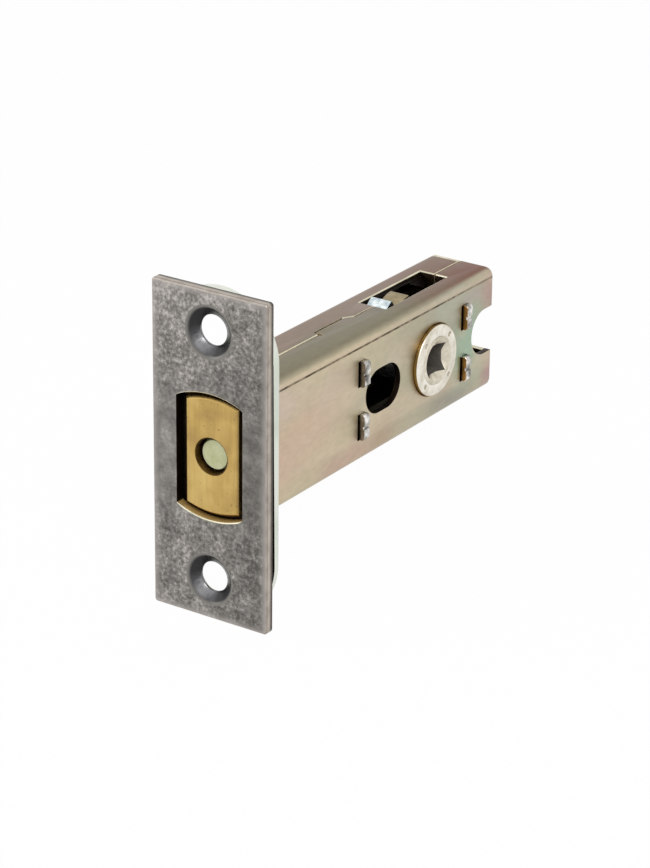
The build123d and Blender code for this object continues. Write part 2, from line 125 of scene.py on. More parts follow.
# barrel-tumbled antique nickel on steel: dark satin grey, mottled by pale rubs, rubbed pale along the rim, with painted
# shade toward one long side
def tumbledNickel(look):
    material, tree, shader, place = newMaterial("tumbledAntiqueNickel")
    mottle = addNode(tree, "ShaderNodeTexNoise",
                     {"Scale": 1 / (look["mottleMm"] * mm), "Detail": 4.0, "Roughness": 0.7}, {"Vector": place})
    cloud = addNode(tree, "ShaderNodeTexNoise",
                    {"Scale": 1 / (look["cloudMm"] * mm), "Detail": 1.0}, {"Vector": place})
    axes = addNode(tree, "ShaderNodeSeparateXYZ", links={"Vector": place})
    across = addNode(tree, "ShaderNodeMath", {"operation": "ABSOLUTE"}, {0: axes.outputs["X"]})
    upDown = addNode(tree, "ShaderNodeMath", {"operation": "ABSOLUTE"}, {0: axes.outputs["Z"]})
    # the tumbling rubbed the ends harder than the band beside the bolt
    strength = addNode(tree, "ShaderNodeMapRange",
                       {"From Min": look["calmBandMm"][0] * mm, "From Max": look["calmBandMm"][1] * mm,
                        "To Min": look["calmContrast"], "To Max": 1.0}, {"Value": upDown.outputs[0]})
    centred = addNode(tree, "ShaderNodeMath", {"operation": "SUBTRACT", 1: 0.5}, {0: mottle.outputs[0]})
    rubs = addNode(tree, "ShaderNodeMath", {"operation": "MULTIPLY"}, {0: centred.outputs[0], 1: strength.outputs[0]})
    drift = addNode(tree, "ShaderNodeMapRange",
                    {"From Min": noiseLow, "From Max": noiseHigh, "To Min": 0.5 - look["cloudDepth"],
                     "To Max": 0.5 + look["cloudDepth"]}, {"Value": cloud.outputs[0]})
    level = addNode(tree, "ShaderNodeMath", {"operation": "ADD"}, {0: rubs.outputs[0], 1: drift.outputs[0]})
    # painted shade: darker toward one long side; and lighter toward the head
    paintedSideShade = addNode(tree, "ShaderNodeMapRange",
                      {"From Min": look["paintedSideShadeMm"][0] * mm, "From Max": look["paintedSideShadeMm"][1] * mm,
                       "To Max": look["paintedSideShade"]}, {"Value": axes.outputs["X"]})
    head = addNode(tree, "ShaderNodeMapRange",
                   {"From Min": look["headMm"][0] * mm, "From Max": look["headMm"][1] * mm,
                    "To Max": look["headLift"]}, {"Value": axes.outputs["Z"]})
    thin = addNode(tree, "ShaderNodeMath", {"operation": "ADD"}, {0: level.outputs[0], 1: head.outputs[0]})
    film = addNode(tree, "ShaderNodeMath", {"operation": "SUBTRACT"}, {0: thin.outputs[0], 1: paintedSideShade.outputs[0]})
    tone = addNode(tree, "ShaderNodeValToRGB", {"stops": look["tones"]}, {"Fac": film.outputs[0]})
    # the pale rim, whose inner border wanders with the mottle
    inset = addNode(tree, "ShaderNodeMath", {"operation": "SUBTRACT", 0: look["halfMm"][0] * mm},
                    {1: across.outputs[0]})
    drop = addNode(tree, "ShaderNodeMath", {"operation": "SUBTRACT", 0: look["halfMm"][1] * mm},
                   {1: upDown.outputs[0]})
    nearest = addNode(tree, "ShaderNodeMath", {"operation": "MINIMUM"}, {0: inset.outputs[0], 1: drop.outputs[0]})
    wander = addNode(tree, "ShaderNodeMath", {"operation": "MULTIPLY_ADD", 1: 2 * look["wanderMm"] * mm,
                                              2: -look["wanderMm"] * mm}, {0: mottle.outputs[0]})
    ragged = addNode(tree, "ShaderNodeMath", {"operation": "ADD"}, {0: nearest.outputs[0], 1: wander.outputs[0]})
    rim = addNode(tree, "ShaderNodeMapRange",
                  {"interpolation_type": "SMOOTHSTEP", "From Min": look["rimMm"][0] * mm,
                   "From Max": look["rimMm"][1] * mm, "To Min": look["rimShare"], "To Max": 0.0},
                  {"Value": ragged.outputs[0]})
    coat = addNode(tree, "ShaderNodeMix", {**mixColours, 7: look["rimColour"]}, {0: rim.outputs[0], 6: tone.outputs[0]})
    tree.links.new(coat.outputs[2], shader.inputs["Base Color"])
    gloss = addNode(tree, "ShaderNodeMapRange", {"To Min": look["roughness"][0], "To Max": look["roughness"][1]},
                    {"Value": mottle.outputs[0]})
    tree.links.new(gloss.outputs[0], shader.inputs["Roughness"])
    bump = addNode(tree, "ShaderNodeBump", {"Strength": look["bump"], "Distance": look["bumpMm"] * mm},
                   {"Height": mottle.outputs[0]})
    tree.links.new(bump.outputs[0], shader.inputs["Normal"])
    return material


# plain satin metal: a soft cloud of tones under a fine grain; films, rubs, specks and painted light and shade where the
# look names them
def satinMetal(name, look):
    material, tree, shader, place = newMaterial(name)
    shader.inputs["Metallic"].default_value = look.get("metallic", 1.0)
    cloud = addNode(tree, "ShaderNodeTexNoise",
                    {"Scale": 1 / (look["cloudMm"] * mm), "Detail": 3.0}, {"Vector": place})
    tone = addNode(tree, "ShaderNodeValToRGB", {"stops": look["tones"]}, {"Fac": cloud.outputs[0]})
    coat = addGrain(tree, shader, place, tone.outputs[0], look, 2.0)
    films = []
    if "layersAndShade" in look:  # films that follow the plate's thickness, darkening toward the rear as painted shade
        axes = addNode(tree, "ShaderNodeSeparateXYZ", links={"Vector": place})
        depth = addNode(tree, "ShaderNodeMapRange", {"From Max": look["layerMm"] * mm}, {"Value": axes.outputs["Y"]})
        films.append((look["layersAndShade"], depth.outputs[0]))
    if "slope" in look:  # painted highlight on the flanks that face up to the light, painted shade on those that face down
        facing = addNode(tree, "ShaderNodeNewGeometry")
        lean = addNode(tree, "ShaderNodeVectorMath", {"operation": "DOT_PRODUCT", 1: look["slope"]},
                       {0: facing.outputs["Normal"]})
        flank = addNode(tree, "ShaderNodeMapRange", {"From Min": -1.0, "From Max": 1.0},
                        {"Value": lean.outputs["Value"]})
        films.append((look["flanks"], flank.outputs[0]))
    for stops, source in films:
        film = addNode(tree, "ShaderNodeValToRGB", {"stops": stops}, {"Fac": source})
        coat = addNode(tree, "ShaderNodeMix", multiplyColours, {6: coat, 7: film.outputs[0]}).outputs[2]
    if "rubMm" in look:  # the tumbling greyed the outermost edge of each cone
        side = addNode(tree, "ShaderNodeVectorMath", {"operation": "ABSOLUTE"}, {0: place})
        offset = addNode(tree, "ShaderNodeVectorMath", {"operation": "SUBTRACT", 1: (0, 0, look["screwMm"] * mm)},
                         {0: side.outputs[0]})
        flat = addNode(tree, "ShaderNodeVectorMath", {"operation": "MULTIPLY", 1: (1, 0, 1)}, {0: offset.outputs[0]})
        reach = addNode(tree, "ShaderNodeVectorMath", {"operation": "LENGTH"}, {0: flat.outputs[0]})
        rub = addNode(tree, "ShaderNodeMapRange",
                      {"From Min": look["rubMm"][0] * mm, "From Max": look["rubMm"][1] * mm},
                      {"Value": reach.outputs["Value"]})
        coat = addNode(tree, "ShaderNodeMix", {**mixColours, 7: look["rubColour"]},
                       {0: rub.outputs[0], 6: coat}).outputs[2]
    if "speckMm" in look:
        dots = addNode(tree, "ShaderNodeTexNoise",
                       {"Scale": 1 / (look["speckMm"] * mm), "Detail": 1.0}, {"Vector": place})
        spots = addNode(tree, "ShaderNodeMapRange",
                        {"From Min": look["speckEdge"][0], "From Max": look["speckEdge"][1],
                         "To Max": look["speckShare"]}, {"Value": dots.outputs[0]})
        coat = addNode(tree, "ShaderNodeMix", {**mixColours, 7: look["speckColour"]},
                       {0: spots.outputs[0], 6: coat}).outputs[2]
    tree.links.new(coat, shader.inputs["Base Color"])
    return material


# yellow chromate over zinc on rolled sheet: straw, clouded with rose and green where the film is thicker; a painted
# highlight on the bends and partly painted shade on the roof
def yellowPassivate(look):
    material, tree, shader, place = newMaterial("yellowZincPassivate")
    waver = addNode(tree, "ShaderNodeTexNoise", {"Scale": 1 / (look["waverMm"] * mm), "Detail": 2.0}, {"Vector": place})
    swing = addNode(tree, "ShaderNodeVectorMath", {"operation": "MULTIPLY_ADD", 1: [look["waverBy"] * 2 * mm] * 3,
                                                   2: [-look["waverBy"] * mm] * 3}, {0: waver.outputs["Color"]})
    moved = addNode(tree, "ShaderNodeVectorMath", {"operation": "ADD"}, {0: place, 1: swing.outputs[0]})
    base = addNode(tree, "ShaderNodeValToRGB", {"stops": look["tones"]}, {"Fac": waver.outputs[0]})
    coat = base.outputs[0]
    for alongMm, upMm, reachMm, colour, most in look["tints"]:
        spread = addNode(tree, "ShaderNodeMapping",
                         {"vector_type": "TEXTURE", "Location": [c * mm for c in (look["tintX"], alongMm, upMm)],
                          "Scale": [c * mm for c in (look["tintReachX"], *reachMm)]}, {"Vector": moved.outputs[0]})
        patch = addNode(tree, "ShaderNodeTexGradient", {"gradient_type": "SPHERICAL"}, {"Vector": spread.outputs[0]})
        share = addNode(tree, "ShaderNodeMapRange", {"interpolation_type": "SMOOTHSTEP", "To Max": most},
                        {"Value": patch.outputs["Fac"]})
        coat = addNode(tree, "ShaderNodeMix", {**mixColours, 7: colour}, {0: share.outputs[0], 6: coat}).outputs[2]
    axes = addNode(tree, "ShaderNodeSeparateXYZ", links={"Vector": moved.outputs[0]})
    facing = addNode(tree, "ShaderNodeNewGeometry")
    upward = addNode(tree, "ShaderNodeSeparateXYZ", links={"Vector": facing.outputs["Normal"]})
    # painted highlight: a pale band on the bends, by how far they face up
    bend = addNode(tree, "ShaderNodeValToRGB", {"stops": look["bendHighlightBand"]}, {"Fac": upward.outputs["Z"]})
    bent = addNode(tree, "ShaderNodeMix", {**mixColours, 7: look["bendHighlightColour"]}, {0: bend.outputs[0], 6: coat})
    # the roof in olive, browner beyond the seam and rosy toward the rear: partly the film's own colour, partly painted
    # shade that keeps the roof darker than the sides
    beyond = addNode(tree, "ShaderNodeMapRange",
                     {"interpolation_type": "SMOOTHSTEP", "From Min": look["roofAcrossMm"][0] * mm,
                      "From Max": look["roofAcrossMm"][1] * mm}, {"Value": axes.outputs["X"]})
    roofTone = addNode(tree, "ShaderNodeValToRGB", {"stops": look["roofTones"]}, {"Fac": beyond.outputs[0]})
    rearward = addNode(tree, "ShaderNodeMapRange",
                       {"From Min": look["roofRearMm"][0] * mm, "From Max": look["roofRearMm"][1] * mm,
                        "To Max": look["roofRearShare"]}, {"Value": axes.outputs["Y"]})
    nearSide = addNode(tree, "ShaderNodeMath", {"operation": "MULTIPLY_ADD", 1: -look["roofFarCalm"], 2: 1.0},
                       {0: beyond.outputs[0]})
    browning = addNode(tree, "ShaderNodeMath", {"operation": "MULTIPLY"},
                       {0: rearward.outputs[0], 1: nearSide.outputs[0]})
    roofAll = addNode(tree, "ShaderNodeMix", {**mixColours, 7: look["roofRear"]},
                      {0: browning.outputs[0], 6: roofTone.outputs[0]})
    # it starts higher on the bend toward the rear
    roofEdge = addNode(tree, "ShaderNodeMapRange",
                       {"From Min": look["roofStartMm"][0] * mm, "From Max": look["roofStartMm"][1] * mm,
                        "To Min": look["roofStart"][0], "To Max": look["roofStart"][1]}, {"Value": axes.outputs["Y"]})
    roof = addNode(tree, "ShaderNodeMapRange",
                   {"interpolation_type": "SMOOTHSTEP", "From Max": look["roofFull"], "To Max": look["roofShare"]},
                   {"Value": upward.outputs["Z"], "From Min": roofEdge.outputs[0]})
    whole = addNode(tree, "ShaderNodeMix", mixColours, {0: roof.outputs[0], 6: bent.outputs[2], 7: roofAll.outputs[2]})
    tree.links.new(addGrain(tree, shader, place, whole.outputs[2], look, 3.0), shader.inputs["Base Color"])
    return material


# a merged copy of a CAD node that stands for it
def pieceFrom(nodeName, pieceName, *materials):
    bpy.ops.object.select_all(action="DESELECT")
    piece = bpy.data.objects.new(pieceName, nodes[nodeName].data.copy())
    bpy.context.scene.collection.objects.link(piece)
    piece.data.materials.clear()
    for material in materials:
        piece.data.materials.append(material)
    bpy.context.view_layer.objects.active = piece
    piece.select_set(True)
    bpy.ops.object.mode_set(mode="EDIT")
    bpy.ops.mesh.select_all(action="SELECT")
    bpy.ops.mesh.customdata_custom_splitnormals_clear()
    bpy.ops.mesh.remove_doubles(threshold=mergeMm * mm)
    bpy.ops.mesh.dissolve_limited(angle_limit=flatAngle)
    bpy.ops.object.mode_set(mode="OBJECT")
    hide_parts(nodeName)
    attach(piece, bodyOf[nodeName])
    return piece


# a node's lowest and highest corners in mm
def boxMm(nodeName):
    return [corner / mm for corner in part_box(nodeName)]


def clearSelection(kind):
    bpy.ops.object.mode_set(mode="EDIT")
    bpy.ops.mesh.select_mode(type=kind)
    bpy.ops.mesh.select_all(action="DESELECT")
    bpy.ops.object.mode_set(mode="OBJECT")


# selects the edges that a test picks by their two ends in mm, and leaves edit mode on
def selectEdges(piece, test):
    clearSelection("EDGE")
    points = [vertex.co / mm for vertex in piece.data.vertices]
    for edge in piece.data.edges:
        edge.select = test(points[edge.vertices[0]], points[edge.vertices[1]])
    bpy.ops.object.mode_set(mode="EDIT")


# selects the faces that a test picks by centre in mm and normal, and leaves edit mode on
def selectFaces(piece, test):
    clearSelection("FACE")
    for face in piece.data.polygons:
        face.select = test(face.center / mm, face.normal)
    bpy.ops.object.mode_set(mode="EDIT")


# cuts the whole active piece along a plane
def cutAcross(placeMm, along):
    bpy.ops.object.mode_set(mode="EDIT")
    bpy.ops.mesh.select_all(action="SELECT")
    bpy.ops.mesh.bisect(plane_co=Vector(placeMm) * mm, plane_no=along)
    bpy.ops.object.mode_set(mode="OBJECT")


# a wider worn edge along chosen edges, with a finish of its own
def wearEdges(piece, widthMm, index, test, segments=2):
    selectEdges(piece, test)
    bpy.ops.mesh.bevel(offset=widthMm * mm, segments=segments, affect="EDGES", clamp_overlap=True, material=index)
    bpy.ops.object.mode_set(mode="OBJECT")


# rounds every other sharp edge a little and smooths the shading
def soften(piece, roundMm, segments=2):
    edge = piece.modifiers.new("roundedEdge", "BEVEL")
    edge.width = roundMm * mm
    edge.segments = segments
    edge.limit_method = "ANGLE"
    edge.angle_limit = sharpAngle
    edge.use_clamp_overlap = True
    bpy.ops.object.modifier_apply(modifier="roundedEdge")
    bpy.ops.object.shade_smooth_by_angle(angle=sharpAngle)


# gives the faces that a test picks, by centre in mm and normal, one of the piece's later materials
def paintFaces(piece, index, test):
    for face in piece.data.polygons:
        if test(face.center / mm, face.normal):
            face.material_index = index


# forend plate: mottled face, rubbed sides, smooth cut countersinks and a blanked window, with painted light and shade
# on several faces
forend = {
    "coneMm": 4.4, "coneRimMm": 4.6, "coneEdgeMm": 0.3, "windowMm": (7, 11.5), "windowEdgeMm": 0.22,
    "archMm": 8, "archStepMm": 5,  # the worn arches start at this height, in steps shorter than this
    "sidesMm": (10.6, 27.8), "sidesOn": 0.6, "rearEdgeMm": (11.0, 1.68, 28.2), "roundMm": 0.12,
    "face": {"mottleMm": 0.75, "cloudMm": 3.2, "cloudDepth": 0.07, "calmBandMm": (6.0, 14.0), "calmContrast": 0.35,
             "paintedSideShade": 0.075, "paintedSideShadeMm": (-4, 11), "headLift": 0.06, "headMm": (10, 26), "halfMm": (11.25, 28.5),
             "rimMm": (-0.2, 1.4), "rimShare": 0.7, "rimColour": "#b7b0ab", "wanderMm": 1.2,
             "tones": [(0.34, "#5f5c58"), (0.45, "#7c7975"), (0.55, "#95918d"), (0.68, "#c3bdb7")],
             "roughness": (0.36, 0.54), "bump": 0.3, "bumpMm": 0.05},
    # nickel rubbed down to its pale under-layers: fine stripes along the plate's edge, darkening toward the rear edge
    # as painted shade where the forend meets the backing plate
    "sides": {"cloudMm": 2.0, "tones": [(0.30, "#b3aca6"), (0.60, "#cec8c2")], "grainMm": (0.5, 0.5, 2.0),
              "grainDepth": 0.06, "roughness": (0.34, 0.48), "layerMm": 1.8,
              "layersAndShade": [(0.10, "#dcd8d4"), (0.17, "#b9b3ad"), (0.26, "#eee9e3"), (0.55, "#e4ddd5"),
                         (0.72, "#8a857f"), (0.88, "#5a5651")]},
    # turned steel under the plating: smooth blue-grey, with a painted highlight on the lower flank, which faces up, and
    # painted shade on the upper flank
    "cone": {"cloudMm": 3.0, "tones": [(0.30, "#848486"), (0.65, "#949496")], "grainMm": (0.5, 0.5, 0.5),
             "grainDepth": 0.05, "roughness": (0.22, 0.32), "slope": (0.45, 0.0, 0.6),
             "flanks": [(0.45, "#606060"), (0.63, "#6a6a6a"), (0.69, "#969696"), (0.73, "#ececec")],
             "rubMm": (3.95, 4.4), "screwMm": 21.5, "rubColour": "#83807b"},
    # painted reflection of the brass on the window's lower wall: warm straw, hardly metallic
    "sill": {"metallic": 0.2, "cloudMm": 3.0, "tones": [(0.30, "#ab8c54"), (0.65, "#c0a064")],
             "grainMm": (0.5, 2.0, 0.5), "grainDepth": 0.05, "roughness": (0.3, 0.4)},
    # painted shade: nearly black brown, for steel faces that lie in shade
    "dark": {"cloudMm": 3.0, "tones": [(0.30, "#221a14"), (0.65, "#35291f")], "grainMm": (0.6, 0.6, 0.6),
             "grainDepth": 0.1, "roughness": (0.45, 0.6)},
    # zinc torn by the shear: a bright cream line, partly the torn edge's own colour, partly a painted highlight where
    # the edges catch the light
    "lip": {"cloudMm": 3.0, "tones": [(0.30, "#c8c1a8"), (0.60, "#e0dac2")], "grainMm": (0.4, 0.4, 0.4),
            "grainDepth": 0.06, "roughness": (0.3, 0.45)}}
paintedShadeSteel = satinMetal("paintedShadeDarkSteel", forend["dark"])
shearedZincAndHighlight = satinMetal("shearedZincEdgeAndHighlight", forend["lip"])
plate = pieceFrom("forend", "forendPlate", tumbledNickel(forend["face"]), satinMetal("rubbedNickel", forend["sides"]),
                  satinMetal("turnedCountersink", forend["cone"]), paintedShadeSteel, shearedZincAndHighlight,
                  satinMetal("paintedBrassReflectionWall", forend["sill"]))


def fromScrew(point):
    return math.hypot(point.x, abs(point.z) - forend["cone"]["screwMm"])


def inForendWindow(c, n):
    return abs(c.x) < forend["windowMm"][0] and abs(c.z) < forend["windowMm"][1] and abs(n.y) < sideOn


paintFaces(plate, 1, lambda c, n: max(abs(n.x), abs(n.z)) > forend["sidesOn"]
           and max(abs(c.x) - forend["sidesMm"][0], abs(c.z) - forend["sidesMm"][1]) > 0)
paintFaces(plate, 2, lambda c, n: fromScrew(c) < forend["coneMm"] and c.y > touchMm and n.y < faceOn)
# painted shade on the window's side and upper walls
paintFaces(plate, 3, lambda c, n: inForendWindow(c, n) and n.z < sideOn)
# painted reflection of the brass on the window's lower wall
paintFaces(plate, 5, lambda c, n: inForendWindow(c, n) and n.z > sideOn)
# the window's upper and lower arches get a wider rounded edge in bright cream, a painted highlight where they catch the
# light
wearEdges(plate, forend["windowEdgeMm"], 4,
          lambda a, b: max(a.y, b.y) < nearMm and min(abs(a.z), abs(b.z)) > forend["archMm"]
          and max(abs(a.z), abs(b.z)) < forend["windowMm"][1] and (a - b).length < forend["archStepMm"])
wearEdges(plate, forend["coneEdgeMm"], 2,
          lambda a, b: max(a.y, b.y) < nearMm and max(fromScrew(a), fromScrew(b)) < forend["coneRimMm"], 3)
soften(plate, forend["roundMm"])
# painted shade: the rounded rear edge all round, where the plate meets the backing plate
paintFaces(plate, 3, lambda c, n: c.y > forend["rearEdgeMm"][1] and abs(n.y) < squareOn
           and max(abs(c.x) - forend["rearEdgeMm"][0], abs(c.z) - forend["rearEdgeMm"][2]) > 0)
print("forend plate:", len(plate.data.polygons), "faces")

# backing plate: pale outside, painted shade in brown inside the bolt's opening and dark on the front face; it stands
# off the forend at the foot
backing = {
    "openingMm": (7.5, 12), "standOffMm": 0.9, "roundMm": 0.25,
    # clear chromate on zinc: pale with a green cast, almost no grain
    "face": {"cloudMm": 8.0, "tones": [(0.30, "#d2d8cb"), (0.52, "#e0e4da"), (0.72, "#eae8de")],
             "grainMm": (0.6, 0.6, 3.0), "grainDepth": 0.03, "roughness": (0.34, 0.5)},
    # painted shade: dark brown on the punched wall inside the opening
    "wall": {"cloudMm": 3.0, "tones": [(0.30, "#4d3a26"), (0.65, "#6b5233")], "grainMm": (0.6, 0.6, 0.6),
             "grainDepth": 0.1, "roughness": (0.45, 0.6), "metallic": 0.3}}
backPlate = pieceFrom("backing_plate", "backingPlate", satinMetal("clearZincPassivate", backing["face"]), paintedShadeSteel,
                      satinMetal("paintedShadeBrownWall", backing["wall"]))
backLow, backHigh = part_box("backing_plate")
# painted shade: the front face dark where it shows in the window's gap, and the opening's walls brown
paintFaces(backPlate, 1, lambda c, n: n.y < -faceOn)
paintFaces(backPlate, 2, lambda c, n: abs(n.y) < sideOn and abs(c.x) < backing["openingMm"][0]
           and abs(c.z) < backing["openingMm"][1])
selectFaces(backPlate, lambda c, n: n.y < -faceOn and c.y < backLow.y / mm + nearMm)
bpy.ops.transform.rotate(value=-math.atan(backing["standOffMm"] * mm / (backHigh.z - backLow.z)), orient_axis="X",
                         orient_type="GLOBAL", center_override=(0, backLow.y, backHigh.z))
bpy.ops.object.mode_set(mode="OBJECT")
soften(backPlate, backing["roundMm"])
print("backing plate:", len(backPlate.data.polygons), "faces")

# hardened pin: a stepped, chamfered nose with the bright centre mark of its turning
pin = {"stepMm": 0.13, "noseMm": 1.05, "chamferMm": 0.12, "markMm": 0.4, "markDeepMm": 0.15,
       # olive-green chromate on zinc: soft, hardly metallic to the eye
       "nose": {"cloudMm": 3.0, "tones": [(0.30, "#b4b788"), (0.52, "#c6c99c"), (0.72, "#d4d6b0")],
                "grainMm": (0.6, 3.0, 0.6), "grainDepth": 0.05, "roughness": (0.3, 0.42), "metallic": 0.35}}
pinPiece = pieceFrom("bolt_pin", "boltPin", satinMetal("greenZincPassivate", pin["nose"]), shearedZincAndHighlight)
pinLow, pinHigh = boxMm("bolt_pin")
flatMm = (pinHigh.x - pinLow.x) / 2 - pin["stepMm"] - pin["chamferMm"] - pin["markMm"]  # ring round the mark
selectFaces(pinPiece, lambda c, n: n.y < -squareOn)
bpy.ops.mesh.inset(thickness=pin["stepMm"] * mm)
bpy.ops.mesh.extrude_region_move(TRANSFORM_OT_translate={"value": (0, -pin["noseMm"] * mm, 0)})
bpy.ops.mesh.inset(thickness=pin["chamferMm"] * mm)
bpy.ops.transform.translate(value=(0, -pin["chamferMm"] * mm, 0))
bpy.ops.mesh.inset(thickness=flatMm * mm)
bpy.ops.transform.translate(value=(0, pin["markDeepMm"] * mm, 0))
bpy.ops.object.mode_set(mode="OBJECT")
paintFaces(pinPiece, 1, lambda c, n: math.hypot(c.x, c.z) < pin["markMm"] + nearMm and n.y < -faceOn and c.y < pinLow.y)
bpy.ops.object.shade_smooth_by_angle(angle=sharpAngle)

# bolt: a sawn bar with a worn mouth round the pin's bore, the bore and the mouth in painted shade
bolt = {
    "boreMm": 3.2, "mouthMm": 0.38, "mouthReachMm": 3.3, "faceMm": 0.7, "roundMm": 0.15,
    # drawn brass: warm gold, lightly streaked up and down and speckled
    "bar": {"cloudMm": 5.0, "tones": [(0.30, "#b0925a"), (0.50, "#c2a362"), (0.72, "#d2b572")],
            "grainMm": (0.5, 2.0, 6.0), "grainDepth": 0.06, "speckMm": 0.6, "speckEdge": (0.68, 0.73),
            "speckShare": 0.4, "speckColour": "#6d5428", "roughness": (0.32, 0.46)},
    # painted shade: dark brown on the pin's bore and its worn mouth
    "bore": {"cloudMm": 1.5, "tones": [(0.30, "#3c2a16"), (0.65, "#5f4722")], "grainMm": (0.5, 2.0, 0.5),
             "grainDepth": 0.1, "roughness": (0.4, 0.55)}}
boltPiece = pieceFrom("bolt", "brassBolt", satinMetal("drawnBrass", bolt["bar"]),
                      satinMetal("paintedShadeBrass", bolt["bore"]))
# painted shade: the pin's bore and its mouth in dark brown
paintFaces(boltPiece, 1, lambda c, n: math.hypot(c.x, c.z) < bolt["boreMm"] and abs(n.y) < sideOn)
wearEdges(boltPiece, bolt["mouthMm"], 1,
          lambda a, b: max(a.y, b.y) < bolt["faceMm"]
          and max(math.hypot(p.x, p.z) for p in (a, b)) < bolt["mouthReachMm"])
soften(boltPiece, bolt["roundMm"])
print("pin and bolt done")

# folded case: seam and window edges in bright sheared zinc, partly a painted highlight, a pressed line under each roof
# bend, painted shade inside
case = {
    "sheetMm": 1.1, "frontMm": 4.1, "wallX": 3, "hubHoleMm": 6.48, "holeRimMm": 0.4,
    "slotMm": (41, 5.6, 4.3),  # its middle along the case, its reach along and up
    "windowX": 2.7, "windowMm": (47.33, 66.67), "windowZ": 8, "windowEdgeMm": 0.2,
    "windowHalvesX": ((-2.75, 0.2), (0.4, 2.75)),
    "seamEdgeMm": 0.32, "lipX": 0.15, "lipReachX": (-1.3, 0.2), "lipClimbMm": 0.4,
    "seamRunsMm": ((3.9, 30.7), (40.5, 47.43), (30.7, 39.7)), "runMm": 3,  # a jog is shorter than a run
    "rampMm": (39.5, 41.2), "rampAcrossMm": 0.5, "flapMm": 3, "notchMm": (0.3, 5),
    "rearRimMm": 1.5, "rearBendMm": 0.7, "roundMm": 0.1,
    "lineMm": (9.36, 9.44, 9.62, 9.70), "lineDeepMm": 0.06,
    "film": {"waverMm": 9.0, "waverBy": 3.0, "grainMm": (0.7, 1.8, 0.7), "grainDepth": 0.06, "roughness": (0.36, 0.5),
             "tones": [(0.35, "#c4b89d"), (0.50, "#cabfa2"), (0.65, "#c1b79a")],
             # clouds of film on the sides: place along and up, reach along and up, colour, most share
             "tintX": 6.5, "tintReachX": 60,
             "tints": [(62, 0, (34, 40), "#aaa591", 1.0), (8, -3, (13, 10), "#cbab9c", 0.75),
                       (19, 0, (18, 10), "#cdb09c", 0.65), (10, 7, (11, 5), "#cfbcb0", 0.8),
                       (26, 5, (12, 6), "#c9b7a6", 0.6), (31, -9, (16, 5), "#bf9f92", 0.6),
                       (46, 5, (7, 4), "#ccbfa8", 0.8), (41, -9, (9, 5), "#b29c86", 0.7),
                       (49, -4, (8, 6), "#acaa90", 0.7), (68, -1, (10, 11), "#a3b9a1", 0.95),
                       (63, -9, (12, 5), "#9e998c", 0.8), (62, 8, (10, 4), "#b7b7a6", 0.8),
                       (70, 7, (6, 3), "#b5aaa3", 0.7), (77, 7, (7, 6), "#b6928f", 0.8),
                       (77, -8, (5, 6), "#b08a8c", 0.75)],
             "bendHighlightColour": "#d2bfa8",
             "bendHighlightBand": [(0.03, "#000000"), (0.16, "#c8c8c8"), (0.36, "#b4b4b4"), (0.62, "#000000")],
             "roofAcrossMm": (2.5, -2.0), "roofTones": [(0.0, "#807a67"), (0.45, "#857869"), (1.0, "#918075")],
             "roofRear": "#7d584d", "roofRearMm": (47, 70), "roofRearShare": 0.95, "roofFarCalm": 0.6,
             "roofStartMm": (44, 72), "roofStart": (0.3, 0.66), "roofFull": 0.94, "roofShare": 0.95},
    # dark gold, on the rims round the hub's holes and the bushes' outer rims
    "rim": {"cloudMm": 2.0, "tones": [(0.30, "#6f5532"), (0.60, "#a68850")], "grainMm": (0.4, 0.4, 0.4),
            "grainDepth": 0.08, "roughness": (0.3, 0.42)},
    # painted shade in the pressed line's groove: dark brown in broken dashes
    "crease": {"cloudMm": 2.2, "tones": [(0.38, "#574939"), (0.62, "#a18f7a")], "grainMm": (0.5, 3.0, 0.5),
               "grainDepth": 0.2, "roughness": (0.4, 0.55)}}
goldRim = satinMetal("goldenZincRim", case["rim"])
casePiece = pieceFrom("case", "foldedCase", yellowPassivate(case["film"]), shearedZincAndHighlight, paintedShadeSteel,
                      satinMetal("paintedShadeCrease", case["crease"]), goldRim)
caseHigh = boxMm("case")[1]
hubLow, hubHigh = boxMm("hub_bush_right")
hubY = (hubLow.y + hubHigh.y) / 2
innerX, innerZ = caseHigh.x - case["sheetMm"], caseHigh.z - case["sheetMm"]
skinX = caseHigh.x - case["sheetMm"] / 2
windowLow, windowHigh = case["windowMm"]
slotY, slotReachY, slotReachZ = case["slotMm"]


def fromHub(point):
    return math.hypot(point.y - hubY, point.z)


def onRoof(a, b):
    return min(a.z, b.z) > caseHigh.z - touchMm


# painted shade on the inside, the front edge and the slot's walls
paintFaces(casePiece, 2, lambda c, n: case["wallX"] < abs(c.x) < innerX + nearMm and n.x * c.x < -sideOn)
paintFaces(casePiece, 2, lambda c, n: abs(c.z) < innerZ + nearMm and n.z * c.z < -sideOn)
paintFaces(casePiece, 2, lambda c, n: c.y < case["frontMm"]
           or (abs(c.x) > innerX and abs(n.x) < sideOn and abs(c.y - slotY) < slotReachY and abs(c.z) < slotReachZ))
